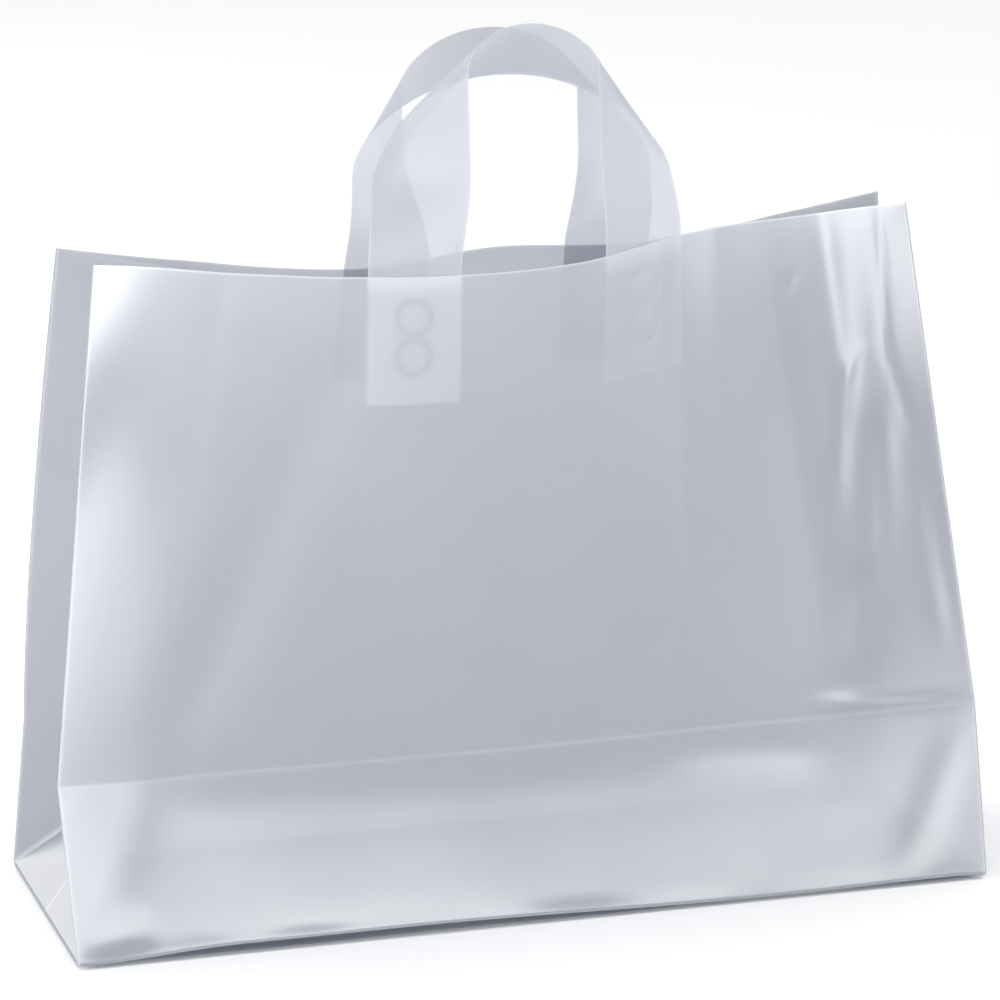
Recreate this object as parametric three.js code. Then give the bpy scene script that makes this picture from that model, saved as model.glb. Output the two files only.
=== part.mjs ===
import * as THREE from 'three';

// A frosted film carrier bag standing open on its square bottom.
// Lengths in mm. The bag stands on z = 0, centred on its base, front panel to -Y.

// Film sizes.
const BAG_WIDTH = 406;
const BAG_DEPTH = 152;
const BAG_HEIGHT = 300;
const FILM = 0.1;
const BASE_ROLL = 2.5;

// How far each corner line has moved in from the upright block, across and fore-and-aft,
// first at the level of the bottom fold and then at the rim.
const CORNER_SHIFT = {
  frontLeft: { fold: [-3.5, 12.5], rim: [23, 38], bend: 1 },
  frontRight: { fold: [1, 12.5], rim: [21.6, 38], bend: 1 },
  backLeft: { fold: [4, 20], rim: [19, 62], bend: 1.3 },
  backRight: { fold: [2, 20], rim: [19, 62], bend: 1.3 },
};

// Bow of each panel towards the front at its rim, sideways sway, sag of the rim,
// and the backward swell of the back panel between its handle legs.
const FRONT_BOW = 74;
const BACK_BOW = 70;
const RIM_SWAY = -9;
const RIM_SAG = 3;
const BACK_SWELL = 15;
const BOW_START = 50;
const BOW_POWER = 1.1;

// The upright fold of each gusset at the rim: its share of the way from the back panel
// to the front one, how much of the gusset's half width lies inside the mouth, and how far
// it hangs below the rim.
const PLEAT_FORWARD = 0.3;
const PLEAT_REACH = 0.94;
const PLEAT_DIP = 5;

// Handle strips.
const HANDLE_WIDTH = 42;
const HANDLE_FILM = 0.15;
const HANDLE_SPACING = 96;
const PATCH_LENGTH = 57;
const LEG_LENGTH = 51;
const CLEARANCE = 0.3;
const LEG_BLEND = 45;

// Each loop: twist of its legs, lean of the whole loop towards the back, tilt to the side
// and turn about the upright, in radians; inward is the way the strip rolls over the mouth.
const FRONT_LOOP = { twist: 0.47, lean: -0.02, tilt: -0.02, turn: 0.12, inward: 1 };
const BACK_LOOP = { twist: 0.8, lean: 0.09, tilt: 0.06, turn: -0.12, inward: -1 };

// Share of the half loop that turns tightly, how much the rest turns, and how fast the
// slant of the bend dies out towards the middle.
const TIGHT_SHARE = 0.3;
const SLACK_TURN = 0.27;
const SLANT_FADE = 0.95;

// Facet counts.
const GUSSET_CELLS = 8;
const WING_CELLS = 6;
const PATCH_CELLS = 4;
const MIDDLE_CELLS = 6;
const WALL_ROWS = 6;
const PATCH_ROWS = 4;
const LOOP_STATIONS = 26;

const HALF_DEPTH = BAG_DEPTH / 2;
const FOLD_HEIGHT = HALF_DEPTH;

const vec = (x, y, z) => new THREE.Vector3(x, y, z);
const mix = (a, b, k) => a.clone().lerp(b, k);

function ease(from, to, x) {
  const t = Math.min(Math.max((x - from) / (to - from), 0), 1);
  return t * t * (3 - 2 * t);
}

// Values from a to b in equal steps, b included.
function steps(a, b, count) {
  return Array.from({ length: count + 1 }, (_, i) => a + ((b - a) * i) / count);
}

// Joins runs of values that share their end values.
function chain(...runs) {
  return runs.flatMap((run, i) => (i ? run.slice(1) : run));
}

// A corner line, from its length measured up the film; the height follows from the lean
// so that the film keeps its length.
function makeCorner({ fold, rim, bend }, sideX, sideY) {
  const shift = (h) => {
    const low = Math.min(h / FOLD_HEIGHT, 1);
    const high = (Math.max(h - FOLD_HEIGHT, 0) / (BAG_HEIGHT - FOLD_HEIGHT)) ** bend;
    return [0, 1].map((i) => fold[i] * low + (rim[i] - fold[i]) * high);
  };
  const step = FOLD_HEIGHT / 38;
  const heights = [0];
  for (let i = 1; heights.length < 200; i += 1) {
    const [xa, ya] = shift((i - 1) * step);
    const [xb, yb] = shift(i * step);
    const rise = Math.sqrt(Math.max(step ** 2 - (xb - xa) ** 2 - (yb - ya) ** 2, 0));
    heights.push(heights[i - 1] + rise);
  }
  return (h) => {
    const [dx, dy] = shift(h);
    const at = Math.min(h / step, heights.length - 1.001);
    const i = Math.floor(at);
    const z = heights[i] + (heights[i + 1] - heights[i]) * (at - i);
    return vec(sideX * (BAG_WIDTH / 2 - dx), sideY * (HALF_DEPTH - dy), z + BASE_ROLL);
  };
}

const corner = {
  frontLeft: makeCorner(CORNER_SHIFT.frontLeft, -1, -1),
  frontRight: makeCorner(CORNER_SHIFT.frontRight, 1, -1),
  backLeft: makeCorner(CORNER_SHIFT.backLeft, -1, 1),
  backRight: makeCorner(CORNER_SHIFT.backRight, 1, 1),
};

// A point of the front or back panel: s runs from -1 at the left corner line to 1 at the
// right one, h is measured up the film. Each level is an arc between its corner lines.
function panelPoint(front, s, h) {
  const left = front ? corner.frontLeft(h) : corner.backLeft(h);
  const right = front ? corner.frontRight(h) : corner.backRight(h);
  const grow = (Math.max(h - BOW_START, 0) / (BAG_HEIGHT - BOW_START)) ** BOW_POWER;
  const bow = (front ? FRONT_BOW : BACK_BOW) * grow;
  const half = Math.max(2 * Math.atan((2 * bow) / left.distanceTo(right)), 1e-3);
  const arc = (Math.cos(s * half) - Math.cos(half)) / (1 - Math.cos(half));
  const point = mix(left, right, 0.5 + (0.5 * Math.sin(s * half)) / Math.sin(half));
  const swell = front ? 0 : BACK_SWELL * Math.exp(-((s / 0.24) ** 2)) * grow ** 3;
  const hump = 1 - s * s;
  point.x += RIM_SWAY * grow * hump;
  point.y += swell - bow * arc;
  point.z -= RIM_SAG * grow * hump;
  return point;
}

// The lower and upper end of a gusset's upright fold. The lower end is the tip of the
// triangle that the bottom fold makes: its film keeps its length to both corner lines.
function pleatEnds(sideX, frontLine, backLine) {
  const middle = mix(frontLine(FOLD_HEIGHT), backLine(FOLD_HEIGHT), 0.5);
  const spread = frontLine(FOLD_HEIGHT).distanceTo(backLine(FOLD_HEIGHT)) / 2;
  const reach = Math.sqrt(Math.max(HALF_DEPTH ** 2 - spread ** 2, 1));
  const level = middle.z - BASE_ROLL;
  const dip = (reach ** 2 + level ** 2 - FOLD_HEIGHT ** 2) / (2 * level);
  const inward = Math.sqrt(Math.max(reach ** 2 - dip ** 2, 1));
  const tip = middle.add(vec(-sideX * inward, 0, -dip));
  const s = sideX * (1 - (2 * PLEAT_REACH * HALF_DEPTH) / BAG_WIDTH);
  const top = mix(
    panelPoint(false, s, BAG_HEIGHT),
    panelPoint(true, s, BAG_HEIGHT),
    PLEAT_FORWARD,
  );
  top.z -= PLEAT_DIP;
  return { tip, top };
}

// A side gusset as a function of u and h: u runs from 0 at the front corner line to 1 at
// the back one. Up to the bottom fold a triangle leans in between two slanting folds;
// above it both halves of the gusset meet at one upright fold pushed into the bag.
function makeGusset(sideX) {
  const frontLine = sideX < 0 ? corner.frontLeft : corner.frontRight;
  const backLine = sideX < 0 ? corner.backLeft : corner.backRight;
  const { tip, top } = pleatEnds(sideX, frontLine, backLine);
  return (u, h) => {
    const near = u <= 0.5;
    const across = near ? 2 * u : 2 - 2 * u;
    const edgeLine = near ? frontLine : backLine;
    if (h >= FOLD_HEIGHT) {
      const fold = mix(tip, top, (h - FOLD_HEIGHT) / (BAG_HEIGHT - FOLD_HEIGHT));
      return mix(edgeLine(h), fold, across);
    }
    const climb = h / FOLD_HEIGHT;
    const slant = mix(edgeLine(0), tip, climb);
    if (across <= climb) {
      return mix(edgeLine(h), slant, climb > 0 ? across / climb : 0);
    }
    const centre = mix(mix(frontLine(0), backLine(0), 0.5), tip, climb);
    return mix(slant, centre, (across - climb) / (1 - climb));
  };
}

// Turns a sheet, given by its middle surface, into a closed solid of even thickness.
function thicken(points, faces, thickness) {
  const normals = points.map(() => vec(0, 0, 0));
  const edges = new Map();
  for (const [a, b, c] of faces) {
    const ab = points[b].clone().sub(points[a]);
    const ac = points[c].clone().sub(points[a]);
    const facing = ab.cross(ac);
    [a, b, c].forEach((i) => normals[i].add(facing));
    for (const [from, to] of [[a, b], [b, c], [c, a]]) {
      if (!edges.delete(`${to} ${from}`)) {
        edges.set(`${from} ${to}`, [from, to]);
      }
    }
  }
  const count = points.length;
  const positions = [];
  for (const side of [0.5, -0.5]) {
    points.forEach((p, i) => {
      positions.push(...p.clone().addScaledVector(normals[i].normalize(), side * thickness));
    });
  }
  const index = [];
  for (const [a, b, c] of faces) {
    index.push(a, b, c, a + count, c + count, b + count);
  }
  for (const [from, to] of edges.values()) {
    index.push(from, from + count, to, to, from + count, to + count);
  }
  const geometry = new THREE.BufferGeometry();
  geometry.setAttribute('position', new THREE.Float32BufferAttribute(positions, 3));
  geometry.setIndex(index);
  geometry.computeVertexNormals();
  return geometry;
}

// Stations across a panel, with lines along the edges of both handle patches.
const patchCentre = HANDLE_SPACING / BAG_WIDTH;
const patchHalf = HANDLE_WIDTH / BAG_WIDTH;
const legLines = steps(patchCentre - patchHalf, patchCentre + patchHalf, PATCH_CELLS);
const panelLines = chain(
  steps(-1, -patchCentre - patchHalf, WING_CELLS),
  legLines.map((s) => -s).reverse(),
  steps(patchHalf - patchCentre, patchCentre - patchHalf, MIDDLE_CELLS),
  legLines,
  steps(patchCentre + patchHalf, 1, WING_CELLS),
);
const patchRows = steps(BAG_HEIGHT - PATCH_LENGTH, BAG_HEIGHT, PATCH_ROWS);
const wallRows = chain(
  steps(0, FOLD_HEIGHT, GUSSET_CELLS / 2),
  steps(FOLD_HEIGHT, BAG_HEIGHT - PATCH_LENGTH, WALL_ROWS),
  patchRows,
);

// The tube of film and its folded bottom as one sheet.
function makeBody() {
  const across = panelLines.length - 1;
  const around = 2 * (across + GUSSET_CELLS);
  const rightGussetPoint = makeGusset(1);
  const leftGussetPoint = makeGusset(-1);
  const columns = [];
  panelLines.slice(0, -1).forEach((s) => columns.push((h) => panelPoint(true, s, h)));
  steps(0, 1, GUSSET_CELLS)
    .slice(0, -1)
    .forEach((u) => columns.push((h) => rightGussetPoint(u, h)));
  panelLines
    .slice(1)
    .reverse()
    .forEach((s) => columns.push((h) => panelPoint(false, s, h)));
  steps(1, 0, GUSSET_CELLS)
    .slice(0, -1)
    .forEach((u) => columns.push((h) => leftGussetPoint(u, h)));

  const points = [];
  const faces = [];
  const quad = (a, b, c, d, rising) => {
    if (rising) {
      faces.push([a, b, c], [a, c, d]);
    } else {
      faces.push([a, b, d], [b, c, d]);
    }
  };

  // The base is drawn in by the roll of its edge, then the edge turns up into the wall.
  const rollTurns = [Math.PI / 2, Math.PI / 4, 0];
  const low = FILM / 2;
  rollTurns.forEach((turn) => {
    const inset = BASE_ROLL * (1 - Math.cos(turn));
    const drop = (BASE_ROLL - low) * Math.sin(turn);
    columns.forEach((column) => {
      const p = column(0);
      const kx = 1 - inset / (BAG_WIDTH / 2);
      const ky = 1 - inset / HALF_DEPTH;
      points.push(vec(p.x * kx, p.y * ky, BASE_ROLL - drop));
    });
  });
  wallRows.slice(1).forEach((h) => columns.forEach((column) => points.push(column(h))));

  const rings = rollTurns.length + wallRows.length - 1;
  for (let row = 0; row + 1 < rings; row += 1) {
    for (let i = 0; i < around; i += 1) {
      const a = row * around + i;
      const b = row * around + ((i + 1) % around);
      const rightGusset = i - across;
      const leftGusset = i - 2 * across - GUSSET_CELLS;
      const place = leftGusset >= 0 ? leftGusset : rightGusset;
      const falling = place >= GUSSET_CELLS / 2 && place < GUSSET_CELLS;
      quad(a, b, b + around, a + around, !falling);
    }
  }

  // Bottom sheet: a grid between the front and back edges of the base.
  const grid = Array.from({ length: GUSSET_CELLS + 1 }, (_, j) =>
    Array.from({ length: across + 1 }, (__, i) => {
      if (j === 0) return i;
      if (i === across) return across + j;
      if (j === GUSSET_CELLS) return 2 * across + GUSSET_CELLS - i;
      if (i === 0) return around - j;
      const edge = mix(points[i], points[2 * across + GUSSET_CELLS - i], j / GUSSET_CELLS);
      points.push(edge);
      return points.length - 1;
    }),
  );
  for (let j = 0; j < GUSSET_CELLS; j += 1) {
    for (let i = 0; i < across; i += 1) {
      quad(grid[j][i], grid[j + 1][i], grid[j + 1][i + 1], grid[j][i + 1], true);
    }
  }
  return thicken(points, faces, FILM);
}

// Half of a loop, from the rim to its middle. The strip is a bent sheet: each straight
// line of the bend runs along (width + slant * length), and the strip turns about it.
function traceHalf(twist, spacing, turning, length, slant) {
  const total = LEG_LENGTH + length;
  const count = 240;
  const step = total / count;
  const along = vec(0, 0, 1);
  const width = vec(Math.cos(twist), -Math.sin(twist), 0);
  const facing = vec(Math.sin(twist), Math.cos(twist), 0);
  const centre = vec(-spacing / 2, 0, 0);
  const slantAt = (l) => {
    if (l < LEG_LENGTH) return slant * ease(0, LEG_LENGTH * 0.9, l);
    return slant * (1 - Math.min((l - LEG_LENGTH) / length, 1) ** SLANT_FADE);
  };
  const trace = [];
  for (let i = 0; i <= count; i += 1) {
    const l = i * step;
    const line = width.clone().addScaledVector(along, slantAt(l));
    trace.push({ centre: centre.clone(), line });
    const q = (l + step / 2 - LEG_LENGTH) / length;
    if (q > 0 && q < 1) {
      const start = Math.min(1, q * 12);
      const tight = Math.max(0, 1 - q / TIGHT_SHARE) ** 0.7;
      const bend = turning * (SLACK_TURN + (1 - SLACK_TURN) * tight) * start * step;
      const twistBy = bend * slantAt(l + step / 2);
      const before = along.clone();
      const axis = facing.clone();
      facing.addScaledVector(along, -bend).addScaledVector(width, twistBy).normalize();
      along.addScaledVector(axis, bend).addScaledVector(facing, -along.dot(facing)).normalize();
      width.addScaledVector(axis, -twistBy).addScaledVector(facing, -width.dot(facing));
      width.addScaledVector(along, -width.dot(along)).normalize();
      centre.addScaledVector(before.add(along), step / 2);
    } else {
      centre.addScaledVector(along, step);
    }
  }
  return { trace, along, centre };
}

// Finds the turning, length and slant for which both halves of a loop meet level.
function shapeLoop(twist, spacing) {
  const guess = [7.2 / spacing, 0.72 * spacing, 1.2];
  const miss = (g) => {
    const { along, centre } = traceHalf(twist, spacing, ...g);
    return vec(along.y, along.z, centre.x / spacing);
  };
  for (let round = 0; round < 40; round += 1) {
    const here = miss(guess);
    const slopes = guess.map((value, i) => {
      const nudged = [...guess];
      nudged[i] = value * 1.0005;
      return miss(nudged).sub(here).divideScalar(value * 0.0005);
    });
    const matrix = new THREE.Matrix3();
    matrix.set(
      slopes[0].x, slopes[1].x, slopes[2].x,
      slopes[0].y, slopes[1].y, slopes[2].y,
      slopes[0].z, slopes[1].z, slopes[2].z,
    );
    const change = here.applyMatrix3(matrix.invert()).toArray();
    const largest = Math.max(...change.map((c, i) => Math.abs(c / guess[i])));
    const share = Math.min(1, 0.25 / Math.max(largest, 1e-12));
    change.forEach((c, i) => {
      guess[i] -= c * share;
    });
    if (largest < 1e-9) break;
  }
  return traceHalf(twist, spacing, ...guess).trace;
}

// A handle: one strip of film, welded flat to the inside of its panel at both ends and
// rolled over into a loop above the rim.
function makeHandle(front, loop) {
  const inward = front ? 1 : -1;
  const sink = FILM / 2 + CLEARANCE + HANDLE_FILM / 2;
  const onPanel = (s, h) => {
    const p = panelPoint(front, s, h);
    const side = panelPoint(front, s + 1e-3, h).sub(panelPoint(front, s - 1e-3, h));
    const up = panelPoint(front, s, h + 0.1).sub(panelPoint(front, s, h - 0.1));
    return p.addScaledVector(up.cross(side).normalize(), inward * sink);
  };
  const leftFoot = onPanel(-patchCentre, BAG_HEIGHT);
  const rightFoot = onPanel(patchCentre, BAG_HEIGHT);
  const spacing = leftFoot.distanceTo(rightFoot);
  const middle = mix(leftFoot, rightFoot, 0.5);
  const trace = shapeLoop(loop.twist, spacing);
  const pose = new THREE.Matrix4()
    .makeTranslation(middle)
    .multiply(new THREE.Matrix4().makeRotationZ(loop.turn))
    .multiply(new THREE.Matrix4().makeRotationX(-loop.lean))
    .multiply(new THREE.Matrix4().makeRotationY(loop.tilt));

  const offsets = steps(-HANDLE_WIDTH / 2, HANDLE_WIDTH / 2, PATCH_CELLS);
  const halfStrip = (sideX) => {
    const lineOf = (o) => sideX * (patchCentre - (2 * o) / BAG_WIDTH);
    const patch = patchRows.slice(0, -1).map((h) => offsets.map((o) => onPanel(lineOf(o), h)));
    const stations = steps(0, trace.length - 1, LOOP_STATIONS).map((at) => trace[Math.round(at)]);
    const free = stations.map(({ centre, line }) =>
      offsets.map((o) => {
        const local = centre.clone().addScaledVector(line, o);
        const climb = local.z;
        const lifted = vec(-sideX * local.x, loop.inward * local.y, climb).applyMatrix4(pose);
        const share = ease(0, LEG_BLEND, climb);
        return share < 1 ? mix(onPanel(lineOf(o), BAG_HEIGHT + climb), lifted, share) : lifted;
      }),
    );
    return [...patch, ...free];
  };
  const leftRows = halfStrip(-1);
  const rightRows = halfStrip(1);
  const rows = [...leftRows, ...rightRows.slice(0, -1).reverse()];
  const points = rows.flat();
  const faces = [];
  const wide = offsets.length;
  for (let r = 0; r + 1 < rows.length; r += 1) {
    for (let i = 0; i + 1 < wide; i += 1) {
      const a = r * wide + i;
      faces.push([a, a + 1, a + wide + 1], [a, a + wide + 1, a + wide]);
    }
  }
  return thicken(points, faces, HANDLE_FILM);
}

function addPiece(group, name, geometry, colour, roughness) {
  const material = new THREE.MeshStandardMaterial({ color: colour, roughness, metalness: 0 });
  const mesh = new THREE.Mesh(geometry, material);
  mesh.name = name;
  group.add(mesh);
}

const bag = new THREE.Group();
bag.name = 'carrier_bag';
addPiece(bag, 'bag_body', makeBody(), 0xd5d9e4, 0.42);
addPiece(bag, 'front_handle', makeHandle(true, FRONT_LOOP), 0xdfe2ec, 0.4);
addPiece(bag, 'back_handle', makeHandle(false, BACK_LOOP), 0xdfe2ec, 0.4);

export default bag;
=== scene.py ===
import math
import bpy
import numpy as np
from mathutils import Matrix, Vector


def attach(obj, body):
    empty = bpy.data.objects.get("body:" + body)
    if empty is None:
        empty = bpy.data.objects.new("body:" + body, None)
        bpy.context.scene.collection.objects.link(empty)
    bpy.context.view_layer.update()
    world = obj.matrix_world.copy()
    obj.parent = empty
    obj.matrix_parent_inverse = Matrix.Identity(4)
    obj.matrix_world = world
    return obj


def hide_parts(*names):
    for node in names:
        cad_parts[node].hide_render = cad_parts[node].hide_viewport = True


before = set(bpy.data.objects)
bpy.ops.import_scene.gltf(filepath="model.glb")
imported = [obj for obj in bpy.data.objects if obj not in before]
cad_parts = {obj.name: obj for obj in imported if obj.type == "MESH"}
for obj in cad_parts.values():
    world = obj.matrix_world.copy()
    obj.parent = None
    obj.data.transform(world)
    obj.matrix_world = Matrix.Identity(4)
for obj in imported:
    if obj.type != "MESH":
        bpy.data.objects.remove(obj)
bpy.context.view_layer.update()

# Bag body: a gusseted tube of frosted polyethylene film, blown as a sleeve, pleated at the sides,
# folded flat and heat sealed across its square bottom. Front, back, both gussets and the bottom
# are one sheet, creased at the corner lines and along a line half the depth above the bottom.
WIDTH, DEPTH, HEIGHT = 406.0, 152.0, 297.5
FOLD = DEPTH / 2
EDGE_LIFT = 2.5
CORNER_SHIFT = {
    ("front", -1): ((-3.5, 12.5), (23.0, 29.5), 1.0),
    ("front", 1): ((1.0, 12.5), (21.6, 44.5), 1.0),
    ("back", -1): ((4.0, 20.0), (19.0, 61.0), 1.3),
    ("back", 1): ((2.0, 20.0), (19.0, 62.0), 1.3),
}
RIM = {"front": (72.5, -0.2, -7.4, -6.4), "back": (41.5, -0.2, 1.0, -8.0)}
BOW_START, BOW_POWER, BOW_SOFT = 50.0, 1.1, 20.0
HOLLOW_DEPTH, HOLLOW_FROM, HOLLOW_TO = 16.0, 0.09, 0.46
SWELL_DEPTH, SWELL_REACH = 12.0, 0.23
PLEAT_FORWARD, PLEAT_REACH, PLEAT_DIP = 0.3, 0.94, 5.0
STRIP_WIDTH, LEG_SPACING, PATCH_LENGTH = 42.0, 110.0, 57.0
SEAL_RADIUS, SEAL_LINE, SEAL_DROPS = 7.6, 1.7, (18.5, 36.0)


def ease(start, end, x):
    t = np.clip((x - start) / (end - start), 0, 1)
    return t * t * (3 - 2 * t)


def corner_plan(side, end, h):
    fold, rim, bend = CORNER_SHIFT[side, end]
    low = np.minimum(h / FOLD, 1)
    high = (np.maximum(h - FOLD, 0) / (HEIGHT - FOLD)) ** bend
    dx, dy = (fold[i] * low + (rim[i] - fold[i]) * high for i in (0, 1))
    facing = -1 if side == "front" else 1
    return np.stack([end * (WIDTH / 2 - dx), facing * (FOLD - dy)], -1)


def bow_level(h):
    """Height above the line where the panels start to bow, with a soft start below it."""
    soft = (np.hypot(h - BOW_START, BOW_SOFT) + h - BOW_START) / 2
    none = (math.hypot(BOW_START, BOW_SOFT) - BOW_START) / 2
    return np.maximum(soft - none * (1 - h / HEIGHT), 0)


def panel_plan(side, s, h):
    """A panel seen from above: s from -1 at the left corner line to 1 at the right one."""
    left, right = corner_plan(side, -1, h), corner_plan(side, 1, h)
    rim_bow, skew, sway, spread = RIM[side]
    grow = (bow_level(h) / bow_level(HEIGHT)) ** BOW_POWER
    bow = rim_bow * grow
    chord = np.linalg.norm(right - left, axis=-1)
    half = np.maximum(2 * np.arctan(2 * bow / chord), 1e-3)
    arc = (np.cos(s * half) - np.cos(half)) / (1 - np.cos(half))
    share = 0.5 + 0.5 * np.sin(s * half) / np.sin(half)
    plan = left + (right - left) * share[..., None]
    fade = np.minimum(1, (1 - s) / (1 - HOLLOW_TO))
    if side == "front":
        back = HOLLOW_DEPTH * ease(HOLLOW_FROM, HOLLOW_TO, s) * fade * grow
    else:
        back = SWELL_DEPTH * np.exp(-((s / SWELL_REACH) ** 2)) * grow**3
    plan[..., 0] += (sway + spread * s) * (1 - s * s) * grow
    plan[..., 1] += back - bow * arc * (1 + skew * s)
    return plan


def panel(side, s, h):
    """Points of a panel in mm; the film keeps its length up each line, however it leans."""
    s, h = np.broadcast_arrays(np.asarray(s, float), np.asarray(h, float))
    levels = np.arange(0, 200) * (FOLD / 38)
    lines, where = np.unique(s, return_inverse=True)
    grid = panel_plan(side, *np.meshgrid(lines, levels, indexing="ij"))
    step2 = (FOLD / 38) ** 2 - (np.diff(grid, axis=1) ** 2).sum(-1)
    rise = np.cumsum(np.sqrt(np.maximum(step2, 0)), 1)
    rise = np.concatenate([np.zeros((len(lines), 1)), rise], 1) + EDGE_LIFT
    at = np.minimum(h / (FOLD / 38), 198.999)
    i = at.astype(int)
    line = where.reshape(s.shape)
    z = rise[line, i] + (rise[line, i + 1] - rise[line, i]) * (at - i)
    return np.concatenate([panel_plan(side, s, h), z[..., None]], -1)


def facing_of(side, s, h):
    """Outward direction of a panel."""
    across = panel(side, s + 1e-3, h) - panel(side, s - 1e-3, h)
    up = panel(side, s, h + 0.2) - panel(side, s, np.maximum(h - 0.2, 0))
    out = np.cross(across, up) if side == "front" else np.cross(up, across)
    return out / np.linalg.norm(out, axis=-1, keepdims=True)


def soft_line(x, h, start, end, width, height, tail=0.25):
    """A ridge or a dent of the film along a line, dying out towards both of its ends."""
    (xa, ha), (xb, hb) = start, end
    dx, dh = xb - xa, hb - ha
    length2 = dx * dx + dh * dh
    t = ((x - xa) * dx + (h - ha) * dh) / length2
    off = ((x - xa) * dh - (h - ha) * dx) / math.sqrt(length2)
    ends = ease(-tail, tail, t) * (1 - ease(1 - tail, 1 + tail, t))
    return height * np.exp(-((off / width) ** 2)) * ends


def weld_rings(x, h):
    """Outline of the two touching round heat seals on each handle patch, 1 on the line."""
    mark = np.zeros(np.broadcast(x, h).shape)
    for side in (-1, 1):
        for drop in SEAL_DROPS:
            r = np.hypot(x - side * LEG_SPACING / 2, h - (HEIGHT - drop))
            mark = np.maximum(mark, np.exp(-(((r - SEAL_RADIUS) / SEAL_LINE) ** 2)))
    return mark


def front_relief(x, h):
    """Soft creases of the front panel, outwards in mm, from how the empty film hangs."""
    lines = [
        ((-192, 4), (-170, 76), 10, 1.3), ((-168, 76), (-140, 296), 17, 2.4),
        ((-80, 285), (-152, 96), 15, -3.2), ((-60, 235), (-20, 110), 22, 0.9),
        ((72, 292), (78, 150), 7, -1.3), ((138, 292), (140, 86), 19, 2.2),
        ((150, 297), (157, 215), 8, 1.2), ((157, 226), (148, 170), 4, 0.9),
        ((186, 297), (181, 236), 2.4, -0.7), ((181, 236), (193, 190), 2.8, -0.6),
        ((166, 238), (156, 222), 2.0, 0.6), ((133, 273), (128, 265), 1.5, 0.6),
        ((176, 205), (170, 140), 7, 1.4), ((160, 140), (150, 98), 8, 1.2),
        ((188, 175), (192, 110), 4, -1.0), ((134, 82), (200, 78), 4, 1.2),
        ((198, 66), (168, 8), 9, -0.9), ((60, 70), (128, 62), 9, -0.7),
        ((-150, 66), (60, 62), 13, -1.0), ((50, 96), (62, 84), 4, -0.6),
        ((-199, 3), (-172, 12), 9, 1.3), ((10, 289), (22, 268), 4, 0.7),
        ((-26, 292), (-24, 252), 3, -0.7), ((-86, 290), (-80, 250), 5, -0.6),
    ]
    out = sum(soft_line(x, h, *line) for line in lines)
    out = out + 0.5 * np.sin(x / 31 + 1.3) * np.sin(h / 47 + 0.4) + 0.25 * np.sin(x / 13 + h / 37)
    out = out - 0.22 * weld_rings(x, h)
    return out * (1 - np.abs(x / (WIDTH / 2)) ** 12) * ease(0, 8, h)


def back_relief(x, h):
    lines = [
        ((-166, 80), (-143, 290), 14, 1.5), ((166, 80), (146, 290), 14, 1.5),
        ((-60, 235), (-120, 90), 16, -1.2), ((60, 235), (120, 90), 16, -1.2),
        ((-10, 290), (6, 120), 20, 1.0), ((-150, 64), (150, 64), 12, -0.9),
        ((176, 290), (184, 200), 3, -1.0), ((-182, 280), (-170, 190), 4, -1.0),
    ]
    out = sum(soft_line(x, h, *line) for line in lines)
    out = out + 0.5 * np.sin(x / 29 + 0.3) * np.sin(h / 43 + 1.4) - 0.35 * weld_rings(x, h)
    return out * (1 - np.abs(x / (WIDTH / 2)) ** 12) * ease(0, 8, h)


def gusset(end, u, h):
    """A side gusset: u from 0 at the front corner line to 1 at the back one."""
    def line(side, level):
        return panel(side, np.full(np.shape(level), float(end)), level)

    front_fold, back_fold = (line(side, np.array(FOLD)) for side in ("front", "back"))
    middle = (front_fold + back_fold) / 2
    spread = np.linalg.norm(front_fold - back_fold) / 2
    reach = math.sqrt(max(FOLD**2 - spread**2, 1))
    level = middle[2] - EDGE_LIFT
    dip = (reach**2 + level**2 - FOLD**2) / (2 * level)
    tip = middle + np.array([-end * math.sqrt(max(reach**2 - dip**2, 1)), 0, -dip])
    at = np.array(end * (1 - PLEAT_REACH * DEPTH / WIDTH))
    rim_back, rim_front = (panel(side, at, np.array(HEIGHT)) for side in ("back", "front"))
    top = rim_back + (rim_front - rim_back) * PLEAT_FORWARD - np.array([0, 0, PLEAT_DIP])

    near = (u <= 0.5)[..., None]
    across = np.where(u <= 0.5, 2 * u, 2 - 2 * u)[..., None]
    edge = np.where(near, line("front", h), line("back", h))
    foot = np.where(near, line("front", 0 * h), line("back", 0 * h))
    climb = np.minimum(h / FOLD, 1)[..., None]
    slant = foot + (tip - foot) * climb
    base = (line("front", 0 * h) + line("back", 0 * h)) / 2
    centre = base + (tip - base) * climb
    inner = edge + (slant - edge) * across / np.maximum(climb, 1e-6)
    outer = slant + (centre - slant) * (across - climb) / np.maximum(1 - climb, 1e-6)
    low = np.where(across <= climb, inner, outer)
    fold = tip + (top - tip) * (np.maximum(h - FOLD, 0) / (HEIGHT - FOLD))[..., None]
    puff = np.sin(np.pi * across) * ease(FOLD + 4, 200, h)[..., None] * np.array([-end * 2.2, 0, 0])
    high = edge + (fold - edge) * across + puff
    return np.where((h >= FOLD)[..., None], high, low)


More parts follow.
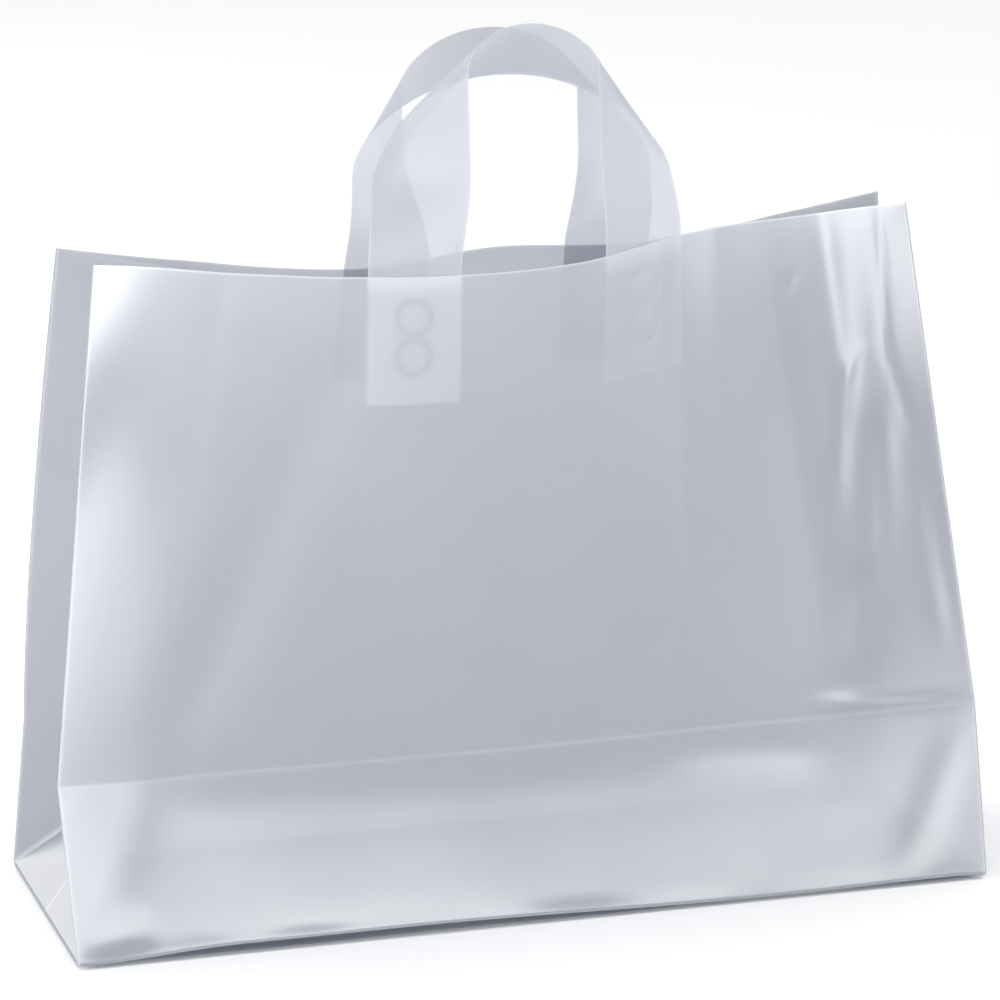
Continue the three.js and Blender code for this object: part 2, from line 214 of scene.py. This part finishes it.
def film_mesh(name, points, quads, uv, weld=None, fold=None):
    """A mesh of thin film from points in mm, with its flat film coordinates as a UV map."""
    mesh = bpy.data.meshes.new(name)
    mesh.from_pydata((points / 1000).tolist(), [], quads)
    layer = mesh.uv_layers.new(name="film")
    index = np.empty(len(mesh.loops), dtype=np.int64)
    mesh.loops.foreach_get("vertex_index", index)
    layer.data.foreach_set("uv", (uv[index] / 1000).astype(np.float32).ravel())
    # weld carries the heat seal rings; fold carries a painted light mask: painted highlights along edges and
    # creases, and painted light on patches and hem.
    for key, values in (("weld", weld), ("fold", fold)):
        attribute = mesh.attributes.new(key, "FLOAT", "POINT")
        filled = np.zeros(len(points)) if values is None else values
        attribute.data.foreach_set("value", filled.astype(np.float32))
    mesh.polygons.foreach_set("use_smooth", np.ones(len(mesh.polygons), dtype=bool))
    mesh.update()
    piece = bpy.data.objects.new(name, mesh)
    bpy.context.scene.collection.objects.link(piece)
    return piece


def spread_out(*runs):
    """Joins runs of (start, end, count) into one rising list without repeated values."""
    return np.unique(np.concatenate([np.linspace(a, b, n + 1) for a, b, n in runs]).round(4))


low_rows = spread_out((0, 4, 4), (4, 72, 24), (72, 76, 5))
high_rows = spread_out((76, 80, 5), (80, HEIGHT - 60, 54), (HEIGHT - 60, HEIGHT, 52))
rows = np.unique(np.concatenate([low_rows, high_rows]))
inner = LEG_SPACING / 2 - STRIP_WIDTH / 2 - 1
outer = LEG_SPACING / 2 + STRIP_WIDTH / 2 + 1
right_half = spread_out((0, inner, 10), (inner, outer, 40), (outer, 197, 40), (197, 203, 7))
columns = np.concatenate([-right_half[::-1], right_half[1:]])
sides = np.concatenate([low_rows, DEPTH - low_rows[::-1][1:]]) / DEPTH

parts = []
for side, order in (("front", columns[:-1]), ("back", columns[:0:-1])):
    x, h = np.meshgrid(order, rows)
    s = x / (WIDTH / 2)
    relief = front_relief(x, h) if side == "front" else back_relief(x, h)
    wall = panel(side, s, h) + facing_of(side, s, h) * relief[..., None]
    # Painted highlights: the film is painted lighter along the corner lines, the crease half the depth up and
    # the rim.
    near_edge = np.exp(-(((WIDTH / 2 - np.abs(x)) / 1.1) ** 2))
    near_fold = np.exp(-(((h - FOLD) / 0.9) ** 2))
    near_rim = np.exp(-(((h - HEIGHT) / 0.5) ** 2))
    seal_rings_and_painted_light = np.maximum(np.maximum(0.35 * near_edge, 0.12 * near_fold), 0.4 * near_rim)
    # Painted light on the handle patches: lighter on the left patch than on the right one, and most near the
    # rim.
    off = np.abs(np.abs(x) - LEG_SPACING / 2) - STRIP_WIDTH / 2
    patch = (1 - ease(-0.6, 0.6, off)) * ease(HEIGHT - PATCH_LENGTH - 0.6, HEIGHT - PATCH_LENGTH + 0.6, h)
    seal_rings_and_painted_light = np.maximum(seal_rings_and_painted_light, patch * (np.where(x < 0, 0.26, 0.15) + 0.2 * np.exp(-(((HEIGHT - h) / 6) ** 2))))
    start = 0 if side == "front" else WIDTH + DEPTH
    along = x + WIDTH / 2 if side == "front" else WIDTH / 2 - x
    parts.append((wall, np.stack([start + along, h], -1), weld_rings(x, h), seal_rings_and_painted_light))
    u, h = np.meshgrid(sides[:-1] if side == "front" else sides[:0:-1], rows)
    end = 1 if side == "front" else -1
    wall = gusset(end, u, h)
    # Painted highlights along the gusset's corner lines, its slanting fold lines and its middle fold.
    slanting = np.abs(np.minimum(u, 1 - u) * DEPTH - h)
    nearest = np.minimum(np.minimum(u, 1 - u) * DEPTH, np.where(h < FOLD, slanting, 99))
    seal_rings_and_painted_light = np.exp(-((nearest / 1.1) ** 2))
    seal_rings_and_painted_light = np.maximum(seal_rings_and_painted_light, np.exp(-(((u - 0.5) * DEPTH / 1.1) ** 2)))
    seal_rings_and_painted_light = 0.35 * seal_rings_and_painted_light
    start = WIDTH if side == "front" else 2 * WIDTH + DEPTH
    along = u * DEPTH if side == "front" else (1 - u) * DEPTH
    parts.append((wall, np.stack([start + along, h], -1), 0 * h, seal_rings_and_painted_light))
ring, film, welds, painted_light_mask = (np.concatenate(group, 1) for group in zip(*parts))

# The lower edge of the front panel stands off the bottom sheet on its left half.
around = ring.shape[1]
place = film[0, :, 0]
x_front = place - WIDTH / 2
gap = 3.0 * ease(-201, -130, x_front) * (1 - ease(-60, 110, x_front))
gap = gap + 0.8 * ease(120, 180, x_front) * (1 - ease(190, 202, x_front))
gap = np.where(place < WIDTH, gap, 0.4)
lift = np.maximum(1 - rows / 22, 0) ** 2
ring[..., 2] += lift[:, None] * gap

# Below that edge the film rolls under and runs in over the bottom sheet.
foot = ring[0].copy()
hem = []
for inset, drop in ((15.0, None), (6.0, 1.5), (1.3, 1.15), (0.4, 0.8)):
    turned = foot.copy()
    turned[:, 0] *= 1 - inset / (WIDTH / 2)
    turned[:, 1] *= 1 - inset / FOLD
    turned[:, 2] = 0.9 if drop is None else foot[:, 2] - drop
    hem.append(turned)
hem_film = [np.stack([place, np.full(around, level)], -1) for level in (-16, -7, -1.6, -0.7)]
levels = np.concatenate([np.stack(hem), ring])
film = np.concatenate([np.stack(hem_film), film])
welds = np.concatenate([np.zeros((4, around)), welds])
# Painted light: the rolled-under hem is painted lighter all over.
painted_light_mask = np.concatenate([np.full((4, around), 0.3), painted_light_mask])
count = len(levels)
quads = []
half_side = len(sides) // 2
panel_cells, side_cells = len(columns) - 1, len(sides) - 1
for r in range(count - 1):
    for i in range(around):
        a, b = r * around + i, r * around + (i + 1) % around
        c, d = b + around, a + around
        in_side = (i - panel_cells) % (panel_cells + side_cells)
        if in_side < side_cells and r >= 4 and rows[r - 3] <= FOLD + 0.01:
            rising = in_side < half_side
            quads += [(a, b, c), (a, c, d)] if rising else [(a, b, d), (b, c, d)]
        else:
            quads.append((a, b, c, d))
points = levels.reshape(-1, 3)
film = film.reshape(-1, 2)

# The bottom sheet lies on the floor with its folded edge standing up a little all round.
across = np.linspace(-1, 1, 121)
deep = np.linspace(-1, 1, 41)
gx, gy = np.meshgrid(np.sign(across) * np.abs(across) ** 0.7, np.sign(deep) * np.abs(deep) ** 0.6)
edge = np.minimum((1 - np.abs(gx)) * WIDTH / 2, (1 - np.abs(gy)) * DEPTH / 2)
gz = 0.06 + 1.5 * np.exp(-edge / 3.2) + 0.25 * np.exp(-edge / 20) * (1 + np.sin(gx * 9) * np.cos(gy * 4))
sheet = np.stack([gx * (WIDTH / 2 + 0.1), gy * (DEPTH / 2 + 0.1), gz], -1).reshape(-1, 3)
first = len(points)
for j in range(40):
    for i in range(120):
        a = first + j * 121 + i
        quads.append((a, a + 1, a + 122, a + 121))
points = np.concatenate([points, sheet])
film = np.concatenate([film, sheet[:, :2] + np.array([WIDTH / 2, -120])])
welds = np.concatenate([welds.ravel(), np.zeros(len(sheet))])
# Painted highlight along the edge of the bottom sheet.
painted_light_mask = np.concatenate([painted_light_mask.ravel(), 0.8 * np.exp(-((edge / 0.8) ** 2)).ravel()])
bag = film_mesh("bag_film", points, quads, film, welds, painted_light_mask)


def film_material(name, tint, inside, clear, through, gloss=0.9, rougher=0.0):
    """Frosted film: some light comes straight through, some is scattered through, the rest back."""
    material = bpy.data.materials.new(name)
    material.use_nodes = True
    tree = material.node_tree
    tree.nodes.clear()

    def node(kind, **values):
        made = tree.nodes.new(kind)
        for key, value in values.items():
            setattr(made, key, value)
        return made

    def link(a, b):
        tree.links.new(a, b)

    flat = node("ShaderNodeUVMap", uv_map="film")
    weld = node("ShaderNodeAttribute", attribute_name="weld")
    # The fold attribute is a painted light mask, not only where the film is folded.
    fold = node("ShaderNodeAttribute", attribute_name="fold")
    cloud = node("ShaderNodeTexNoise")
    cloud.inputs["Scale"].default_value = 22
    cloud.inputs["Detail"].default_value = 4
    link(flat.outputs["UV"], cloud.inputs["Vector"])
    grain = node("ShaderNodeTexNoise")
    grain.inputs["Scale"].default_value = 1400
    grain.inputs["Detail"].default_value = 2
    link(flat.outputs["UV"], grain.inputs["Vector"])

    body = node("ShaderNodeMix", data_type="RGBA")
    link(cloud.outputs["Fac"], body.inputs["Factor"])
    body.inputs["A"].default_value = (*[c * 0.93 for c in tint], 1)
    body.inputs["B"].default_value = (*[min(c * 1.05, 1) for c in tint], 1)
    # Painted highlight: mixes the film colour towards white where the fold attribute is set.
    white = node("ShaderNodeMix", data_type="RGBA")
    link(fold.outputs["Fac"], white.inputs["Factor"])
    link(body.outputs["Result"], white.inputs["A"])
    white.inputs["B"].default_value = (0.97, 0.97, 0.98, 1)
    seal = node("ShaderNodeMix", data_type="RGBA")
    link(weld.outputs["Fac"], seal.inputs["Factor"])
    link(white.outputs["Result"], seal.inputs["A"])
    seal.inputs["B"].default_value = (*[c * 1.3 for c in tint], 1)

    rough = node("ShaderNodeMapRange")
    link(cloud.outputs["Fac"], rough.inputs["Value"])
    rough.inputs["To Min"].default_value = 0.26 + rougher
    rough.inputs["To Max"].default_value = 0.32 + rougher
    bump = node("ShaderNodeBump")
    bump.inputs["Strength"].default_value = 0.06
    bump.inputs["Distance"].default_value = 0.0002
    link(grain.outputs["Fac"], bump.inputs["Height"])

    surface = node("ShaderNodeBsdfPrincipled")
    link(seal.outputs["Result"], surface.inputs["Base Color"])
    link(rough.outputs["Result"], surface.inputs["Roughness"])
    link(bump.outputs["Normal"], surface.inputs["Normal"])
    surface.inputs["IOR"].default_value = 1.7
    surface.inputs["Specular IOR Level"].default_value = gloss
    glow = node("ShaderNodeBsdfTranslucent")
    glow.inputs["Color"].default_value = (*inside, 1)
    milky = node("ShaderNodeMixShader")
    milky.inputs["Fac"].default_value = through
    link(surface.outputs["BSDF"], milky.inputs[1])
    link(glow.outputs["BSDF"], milky.inputs[2])
    straight = node("ShaderNodeBsdfTransparent")
    straight.inputs["Color"].default_value = (0.95, 0.96, 1, 1)
    haze = node("ShaderNodeMapRange")
    link(cloud.outputs["Fac"], haze.inputs["Value"])
    haze.inputs["To Min"].default_value = clear * 0.8
    haze.inputs["To Max"].default_value = clear * 1.2
    both = node("ShaderNodeMixShader")
    link(haze.outputs["Result"], both.inputs["Fac"])
    link(milky.outputs["Shader"], both.inputs[1])
    link(straight.outputs["BSDF"], both.inputs[2])
    output = node("ShaderNodeOutputMaterial")
    link(both.outputs["Shader"], output.inputs["Surface"])
    return material


FILM_TINT, FILM_GLOW = (0.28, 0.291, 0.323), (0.51, 0.53, 0.58)
bag.data.materials.append(film_material("bag_film", FILM_TINT, FILM_GLOW, 0.13, 0.43))
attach(bag, "root")
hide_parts("bag_body")

# Handles: two soft strips of the same film, each heat sealed flat to the inside of its panel at
# both ends with a pair of round seals, and rolled over into a loop above the rim.
LEG_LENGTH, LEG_BLEND, STAND_OFF = 51.0, 45.0, 0.43
TIGHT_SHARE, SLACK_TURN, SLANT_FADE = 0.3, 0.27, 0.95
LOOPS = {
    "front": (95.0, 0.47, -0.02, -0.02, 0.12, 1),
    "back": (102.0, 0.9, 0.08, 0.01, -0.12, -1),
}


def trace_half(twist, spacing, turning, length, slant, count=240):
    """Half a loop as a bent strip: its centre line and the direction of each straight bend line."""
    step = (LEG_LENGTH + length) / count
    along = np.array([0.0, 0.0, 1.0])
    width = np.array([math.cos(twist), -math.sin(twist), 0.0])
    facing = np.array([math.sin(twist), math.cos(twist), 0.0])
    centre = np.array([-spacing / 2, 0.0, 0.0])

    def slant_at(l):
        if l < LEG_LENGTH:
            return slant * float(ease(0, LEG_LENGTH * 0.9, l))
        return slant * (1 - min((l - LEG_LENGTH) / length, 1) ** SLANT_FADE)

    trace = []
    for i in range(count + 1):
        l = i * step
        trace.append((centre.copy(), width + along * slant_at(l)))
        q = (l + step / 2 - LEG_LENGTH) / length
        if 0 < q < 1:
            tight = max(0, 1 - q / TIGHT_SHARE) ** 0.7
            bend = turning * (SLACK_TURN + (1 - SLACK_TURN) * tight) * min(1, q * 12) * step
            roll = bend * slant_at(l + step / 2)
            before, axis = along.copy(), facing.copy()
            facing = facing - along * bend + width * roll
            facing /= np.linalg.norm(facing)
            along = along + axis * bend
            along -= facing * along.dot(facing)
            along /= np.linalg.norm(along)
            width = width - axis * roll
            width -= facing * width.dot(facing)
            width -= along * width.dot(along)
            width /= np.linalg.norm(width)
            centre = centre + (before + along) * step / 2
        else:
            centre = centre + along * step
    return trace, along, centre


def loop_shape(twist, spacing):
    """Finds the turning, length and slant for which both halves of the loop meet level."""
    guess = np.array([7.2 / spacing, 0.72 * spacing, 1.2])

    def miss(g):
        trace, along, centre = trace_half(twist, spacing, *g)
        return np.array([along[1], along[2], centre[0] / spacing])

    for attempt in range(40):
        here = miss(guess)
        nudged = [miss(guess * (1 + 5e-4 * np.eye(3)[i])) for i in range(3)]
        slopes = np.stack([(nudged[i] - here) / (guess[i] * 5e-4) for i in range(3)], 1)
        change = np.linalg.solve(slopes, here)
        largest = np.abs(change / guess).max()
        guess = guess - change * min(1, 0.25 / max(largest, 1e-12))
        if largest < 1e-9:
            break
    return trace_half(twist, spacing, *guess)[0]


def handle_strip(side):
    spacing, twist, lean, tilt, turn, inward = LOOPS[side]
    centre_s = LEG_SPACING / WIDTH

    def on_panel(s, h):
        s, h = np.broadcast_arrays(np.asarray(s, float), np.asarray(h, float))
        x = s * WIDTH / 2
        below = np.minimum(h, HEIGHT)
        relief = front_relief(x, below) if side == "front" else back_relief(x, below)
        return panel(side, s, h) + facing_of(side, s, h) * (relief - STAND_OFF)[..., None]

    feet = panel(side, np.array([-centre_s, centre_s]), np.array([HEIGHT, HEIGHT]))
    feet = feet - facing_of(side, np.array([-centre_s, centre_s]), np.array([HEIGHT, HEIGHT])) * STAND_OFF
    pose = Matrix.Translation(Vector(feet.mean(0))) @ Matrix.Rotation(turn, 4, "Z")
    pose = np.array(pose @ Matrix.Rotation(-lean, 4, "X") @ Matrix.Rotation(tilt, 4, "Y"))
    trace = loop_shape(twist, spacing)
    stations = [trace[i] for i in range(0, len(trace), 2)]
    offsets = np.linspace(-STRIP_WIDTH / 2, STRIP_WIDTH / 2, 37)
    patch_rows = np.linspace(HEIGHT - PATCH_LENGTH, HEIGHT, 53)[:-1]
    halves = []
    for end in (-1, 1):
        lines = end * (centre_s - 2 * offsets / WIDTH)
        s, h = np.meshgrid(lines, patch_rows)
        patch = on_panel(s, h)
        centres = np.array([c for c, _ in stations])[:, None, :]
        slants = np.array([w for _, w in stations])[:, None, :]
        local = centres + slants * offsets[None, :, None]
        climb = local[..., 2]
        cup = 1.1 * (1 - (2 * offsets / STRIP_WIDTH) ** 2) * ease(8, 40, climb)
        shaped = np.stack([-end * local[..., 0], inward * (local[..., 1] + cup), climb], -1)
        lifted = shaped @ pose[:3, :3].T + pose[:3, 3]
        share = ease(0, LEG_BLEND, climb)[..., None]
        flat = on_panel(np.broadcast_to(lines, climb.shape), np.maximum(HEIGHT + climb, 0))
        halves.append(np.concatenate([patch, flat + (lifted - flat) * share]))
    strip = np.concatenate([halves[0], halves[1][:-1][::-1]])
    length, wide = strip.shape[:2]
    steps = np.linalg.norm(np.diff(strip[:, wide // 2], axis=0), axis=1)
    run = np.concatenate([[0], np.cumsum(steps)])
    film = np.stack(np.meshgrid(offsets, run), -1)
    seal_rings_and_painted_light = np.zeros((length, wide))
    for drop in SEAL_DROPS:
        for at in (PATCH_LENGTH - drop, run[-1] - PATCH_LENGTH + drop):
            r = np.hypot(film[..., 0], film[..., 1] - at)
            seal_rings_and_painted_light = np.maximum(seal_rings_and_painted_light, np.exp(-(((r - SEAL_RADIUS) / SEAL_LINE) ** 2)))
    # Painted highlight along both cut edges of the strip, passed on as the fold attribute.
    rim = 0.2 * np.exp(-(((STRIP_WIDTH / 2 - np.abs(film[..., 0])) / 0.6) ** 2))
    quads = []
    for r in range(length - 1):
        for i in range(wide - 1):
            a = r * wide + i
            quads.append((a, a + 1, a + wide + 1, a + wide))
    shape = (strip.reshape(-1, 3), quads, film.reshape(-1, 2), seal_rings_and_painted_light.ravel(), rim.ravel())
    return film_mesh(f"{side}_handle_film", *shape), run[-1]


# Painted light: the handles are the same film as the bag, given a lighter tint and scattered-through colour
# than FILM_TINT and FILM_GLOW.
STRIP_TINT_PAINTED_LIGHTER, STRIP_GLOW_PAINTED_LIGHTER = (0.33, 0.344, 0.382), (0.54, 0.562, 0.622)
strip_film = film_material("handle_film", STRIP_TINT_PAINTED_LIGHTER, STRIP_GLOW_PAINTED_LIGHTER, 0.22, 0.46, 0.3, 0.14)
for side in ("front", "back"):
    strip, strip_length = handle_strip(side)
    strip.data.materials.append(strip_film)
    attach(strip, "root")
    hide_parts(f"{side}_handle")

# Floor: a wide sheet of matt white paper that the bag stands on.
plane = bpy.data.meshes.new("floor")
corners = [(-20, -20), (20, -20), (20, 20), (-20, 20)]
plane.from_pydata([(x, y, -0.0002) for x, y in corners], [], [(0, 1, 2, 3)])
floor = bpy.data.objects.new("floor", plane)
bpy.context.scene.collection.objects.link(floor)
paper = bpy.data.materials.new("white_paper")
paper.use_nodes = True
matt = paper.node_tree.nodes["Principled BSDF"]
fibre = paper.node_tree.nodes.new("ShaderNodeTexNoise")
fibre.inputs["Scale"].default_value = 60
shade = paper.node_tree.nodes.new("ShaderNodeMapRange")
shade.inputs["To Min"].default_value = 0.955
shade.inputs["To Max"].default_value = 0.965
paper.node_tree.links.new(fibre.outputs["Fac"], shade.inputs["Value"])
paper.node_tree.links.new(shade.outputs["Result"], matt.inputs["Base Color"])
matt.inputs["Roughness"].default_value = 0.9
matt.inputs["Specular IOR Level"].default_value = 0.1
plane.materials.append(paper)

# Light: a white tent, darker on the camera's side, with a soft box at each side.
world = bpy.data.worlds.new("tent")
bpy.context.scene.world = world
world.use_nodes = True
tree = world.node_tree
direction = tree.nodes.new("ShaderNodeTexCoord")
slope = tree.nodes.new("ShaderNodeVectorMath")
slope.operation = "DOT_PRODUCT"
slope.inputs[1].default_value = (0.0, 0.4, 0.84)
tree.links.new(direction.outputs["Generated"], slope.inputs[0])
level = tree.nodes.new("ShaderNodeMapRange")
level.interpolation_type = "SMOOTHSTEP"
level.inputs["From Min"].default_value = -0.2
level.inputs["From Max"].default_value = 0.9
level.inputs["To Min"].default_value = 0.15
level.inputs["To Max"].default_value = 1.2
tree.links.new(slope.outputs["Value"], level.inputs["Value"])
tree.links.new(level.outputs["Result"], tree.nodes["Background"].inputs["Strength"])
tree.nodes["Background"].inputs["Color"].default_value = (1, 1, 1, 1)


def soft_box(name, at, look, wide, tall, watts):
    data = bpy.data.lights.new(name, "AREA")
    data.shape = "RECTANGLE"
    data.size, data.size_y = wide, tall
    data.energy = watts
    lamp = bpy.data.objects.new(name, data)
    lamp.location = at
    lamp.rotation_euler = (Vector(look) - Vector(at)).to_track_quat("-Z", "Y").to_euler()
    bpy.context.scene.collection.objects.link(lamp)


soft_box("left_box", (-1.1, -2.0, 0.26), (0, 0, 0.15), 1.4, 0.5, 26)
soft_box("side_box", (-1.9, -0.35, 0.45), (0, 0, 0.15), 0.7, 0.7, 27)
soft_box("back_box", (-1.2, 2.0, 0.5), (0, 0, 0.15), 1.1, 0.9, 14)
soft_box("right_box", (1.75, -0.75, 0.5), (0.1, 0, 0.18), 0.5, 1.0, 15)
soft_box("front_box", (0.4, -3.0, 0.33), (0, 0, 0.05), 1.9, 0.62, 46)


# Camera: a long lens, a little to the left of the front and above it.
yaw, pitch, roll = math.radians(14.7), math.radians(13.9), math.radians(1.14)
behind = Vector((-math.sin(yaw) * math.cos(pitch), -math.cos(yaw) * math.cos(pitch), math.sin(pitch)))
aside = Vector((math.cos(yaw), -math.sin(yaw), 0))
upward = behind.cross(aside)
lens = bpy.data.cameras.new("camera")
lens.sensor_width = 36
lens.lens = 206.2
lens.clip_start, lens.clip_end = 0.1, 60
camera = bpy.data.objects.new("camera", lens)
x_axis = aside * math.cos(roll) - upward * math.sin(roll)
y_axis = aside * math.sin(roll) + upward * math.cos(roll)
turned = Matrix((x_axis, y_axis, behind)).transposed().to_4x4()
camera.matrix_world = Matrix.Translation(Vector((0.0052, 0, 0.17)) + behind * 2.5) @ turned
bpy.context.scene.collection.objects.link(camera)
bpy.context.scene.camera = camera
bpy.context.scene.view_settings.view_transform = "Standard"
bpy.context.scene.cycles.use_denoising = True
bpy.context.scene.cycles.max_bounces = 9
bpy.context.scene.cycles.transparent_max_bounces = 12
bpy.context.scene.cycles.transmission_bounces = 8
